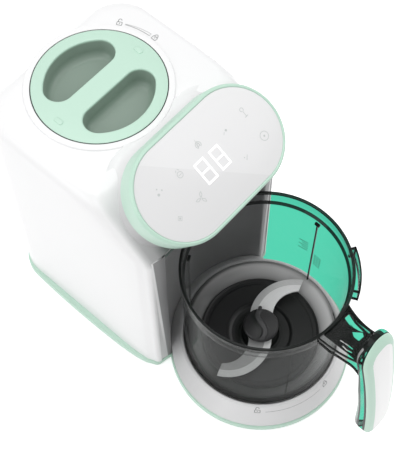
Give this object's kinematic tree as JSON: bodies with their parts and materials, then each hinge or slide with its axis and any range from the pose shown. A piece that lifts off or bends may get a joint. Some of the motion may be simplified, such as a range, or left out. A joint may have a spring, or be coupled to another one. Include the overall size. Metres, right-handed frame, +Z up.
{
  "type": "baby food processor",
  "caption": "Countertop steamer and blender: tower with round water-tank lid and tilted touch panel, clear bowl with handle and S-shaped blades on a round deck.",
  "frame": {"origin": "middle of the footprint's bounding box, on the surface that the feet stand on", "axes": "+Z up; +Y from the bowl's handle towards the tower's back; +X to the right of someone facing the bowl"},
  "size_m": [0.16, 0.3616, 0.2741],
  "materials": {
    "white_plastic": "satin white moulding",
    "pale_grey_plastic": "pale grey moulding",
    "mint_plastic": "satin mint green moulding",
    "smoke_clear_plastic": "clear smoke-green moulding",
    "dark_plastic": "dark grey moulding",
    "blade_steel": "brushed stainless steel",
    "screw_steel": "plain zinc-plated steel",
    "brass": "plain brass",
    "rubber": "dark rubber",
    "silicone": "translucent silicone rubber",
    "circuit_board": "green circuit board",
    "panel_glass": "back-printed light grey glass"
  },
  "bodies": {
    "base": {"rubber_foot_1": "rubber", "rubber_foot_2": "rubber", "rubber_foot_3": "rubber", "rubber_foot_4": "rubber", "rubber_foot_5": "rubber", "chassis_tray": "mint_plastic", "tray_screw_1": "screw_steel", "tray_screw_2": "screw_steel", "tray_screw_3": "screw_steel", "tray_screw_4": "screw_steel", "tower_housing": "white_plastic", "front_cover": "pale_grey_plastic", "base_deck": "white_plastic", "head_neck": "white_plastic", "panel_bezel": "mint_plastic", "panel_glass": "panel_glass", "control_board": "circuit_board", "display_module": "dark_plastic", "tank_collar": "white_plastic", "water_tank": "smoke_clear_plastic", "boiler_heater": "screw_steel", "thermostat": "dark_plastic", "boiler_cup": "blade_steel", "boiler_cap": "pale_grey_plastic", "water_tube": "silicone", "steam_pipe": "silicone", "steam_nozzle": "pale_grey_plastic", "nozzle_seal": "silicone", "motor_bracket": "screw_steel", "motor_can": "screw_steel", "drive_belt": "rubber", "drive_bearing": "brass", "power_board": "circuit_board", "power_inlet": "dark_plastic", "inlet_pin_1": "brass", "inlet_pin_2": "brass", "bowl_switch": "dark_plastic"},
    "tank_seal": {"tank_seal": "silicone"},
    "tank_lid": {"tank_lid": "mint_plastic"},
    "bowl_gasket": {"bowl_gasket": "silicone"},
    "bowl": {"bowl_jar": "smoke_clear_plastic", "bowl_floor": "dark_plastic", "spindle_bush": "brass", "grip_frame": "mint_plastic", "grip_cover": "white_plastic", "handle_screw": "screw_steel"},
    "spindle": {"spindle_shaft": "blade_steel", "driven_dog": "dark_plastic"},
    "blade_unit": {"blade_hub": "dark_plastic", "blade_lower": "blade_steel", "blade_upper": "blade_steel", "blade_spacer": "dark_plastic", "hub_cap": "dark_plastic"},
    "motor": {"motor_rotor": "blade_steel", "motor_pulley": "brass"},
    "drive": {"drive_shaft": "blade_steel", "drive_pulley": "brass", "drive_dog": "dark_plastic"}
  },
  "joints": [
    {"name": "lid_lift", "type": "slide", "parent": "base", "child": "tank_seal", "axis": [0, 0, 1], "range_m": [0, 0.03]},
    {"name": "lid_turn", "type": "hinge", "parent": "tank_seal", "child": "tank_lid", "pos_m": [0, 0.11919, 0.243], "axis": [0, 0, 1], "range_deg": [0, 33]},
    {"name": "bowl_lift", "type": "slide", "parent": "base", "child": "bowl_gasket", "axis": [0, 0, 1], "range_m": [0, 0.016]},
    {"name": "bowl_turn", "type": "hinge", "parent": "bowl_gasket", "child": "bowl", "pos_m": [0, -0.05121, 0.03], "axis": [0, 0, 1], "range_deg": [-50, 0]},
    {"name": "spindle_spin", "type": "hinge", "parent": "bowl", "child": "spindle", "pos_m": [0, -0.05121, 0.03], "axis": [0, 0, 1], "continuous": true},
    {"name": "blade_lift", "type": "slide", "parent": "spindle", "child": "blade_unit", "axis": [0, 0, 1], "range_m": [0, 0.1]},
    {"name": "motor_spin", "type": "hinge", "parent": "base", "child": "motor", "pos_m": [0, 0.06679, 0.03], "axis": [0, 0, 1], "continuous": true},
    {"name": "drive_spin", "type": "hinge", "parent": "base", "child": "drive", "pos_m": [0, -0.05121, 0.01], "axis": [0, 0, 1], "continuous": true}
  ],
  "couplings": [
    {"joint": "drive_spin", "follows": "motor_spin", "ratio": 0.3204},
    {"joint": "spindle_spin", "follows": "motor_spin", "ratio": 0.3204}
  ]
}
